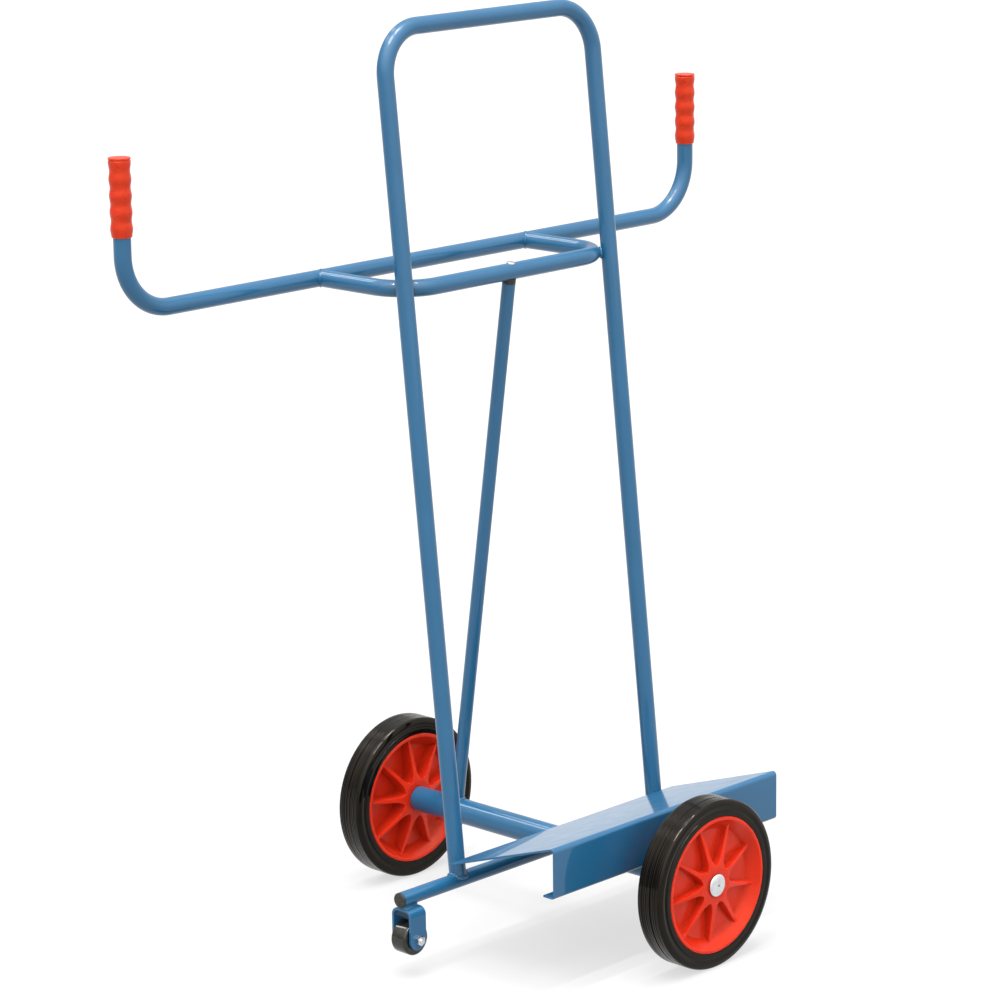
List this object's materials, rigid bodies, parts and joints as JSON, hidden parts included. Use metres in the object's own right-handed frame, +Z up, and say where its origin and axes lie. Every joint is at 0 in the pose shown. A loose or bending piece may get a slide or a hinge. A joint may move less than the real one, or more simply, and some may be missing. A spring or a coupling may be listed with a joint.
{
  "type": "panel dolly",
  "caption": "Wheeled workshop dolly for moving boards on edge: leaning tubular hoop, wide push handle with ribbed grips, sloping load channel, solid-tyred wheels and fixed end rollers.",
  "frame": {"origin": "on the floor under the middle of the axle", "axes": "+X along the direction of travel, +Y along the axle from the load channel towards the handle, +Z up"},
  "size_m": [1.1996, 0.6614, 1.3499],
  "materials": {
    "blue_coat": "gloss powder coat",
    "red_grip": "semi-gloss soft moulding",
    "red_rim": "gloss moulding",
    "black_rubber": "satin",
    "black_plastic": "matt moulding",
    "roller_plastic": "gloss moulding",
    "bright_zinc": "bright zinc plate",
    "grey_steel": "drawn bar",
    "white_nylon": "satin"
  },
  "bodies": {
    "frame": {"hoop_frame": "blue_coat", "standoff_bracket": "blue_coat", "handle_bar": "blue_coat", "grip_left": "red_grip", "grip_right": "red_grip", "rear_stay": "blue_coat", "stay_plug": "black_plastic", "stay_bolt": "bright_zinc", "load_channel": "blue_coat", "axle_tube": "blue_coat", "axle_shaft": "grey_steel", "axle_collar_front": "grey_steel", "axle_collar_rear": "grey_steel", "outrigger_left": "blue_coat", "outrigger_right": "blue_coat", "outrigger_plug_left": "black_plastic", "outrigger_plug_right": "black_plastic", "caster_fork_left": "blue_coat", "caster_fork_right": "blue_coat", "caster_bolt_left": "bright_zinc", "caster_bolt_right": "bright_zinc", "caster_nut_left": "bright_zinc", "caster_nut_right": "bright_zinc", "caster_sleeve_left": "grey_steel", "caster_sleeve_right": "grey_steel", "inner_washer_front": "bright_zinc", "inner_washer_rear": "bright_zinc", "outer_washer_front": "bright_zinc", "outer_washer_rear": "bright_zinc", "hub_cap_front": "bright_zinc", "hub_cap_rear": "bright_zinc"},
    "front_wheel": {"tyre_front": "black_rubber", "rim_front": "red_rim", "hub_bush_front": "white_nylon"},
    "rear_wheel": {"tyre_rear": "black_rubber", "rim_rear": "red_rim", "hub_bush_rear": "white_nylon"},
    "left_roller": {"caster_roller_left": "roller_plastic"},
    "right_roller": {"caster_roller_right": "roller_plastic"}
  },
  "joints": [
    {"name": "front_wheel_spin", "type": "hinge", "parent": "frame", "child": "front_wheel", "pos_m": [0, -0.305, 0.125], "axis": [0, 1, 0], "continuous": true},
    {"name": "rear_wheel_spin", "type": "hinge", "parent": "frame", "child": "rear_wheel", "pos_m": [0, 0.305, 0.125], "axis": [0, 1, 0], "continuous": true},
    {"name": "left_roller_spin", "type": "hinge", "parent": "frame", "child": "left_roller", "pos_m": [-0.3158, -0.018, 0.057], "axis": [0, 1, 0], "continuous": true},
    {"name": "right_roller_spin", "type": "hinge", "parent": "frame", "child": "right_roller", "pos_m": [0.3158, -0.018, 0.057], "axis": [0, 1, 0], "continuous": true}
  ]
}
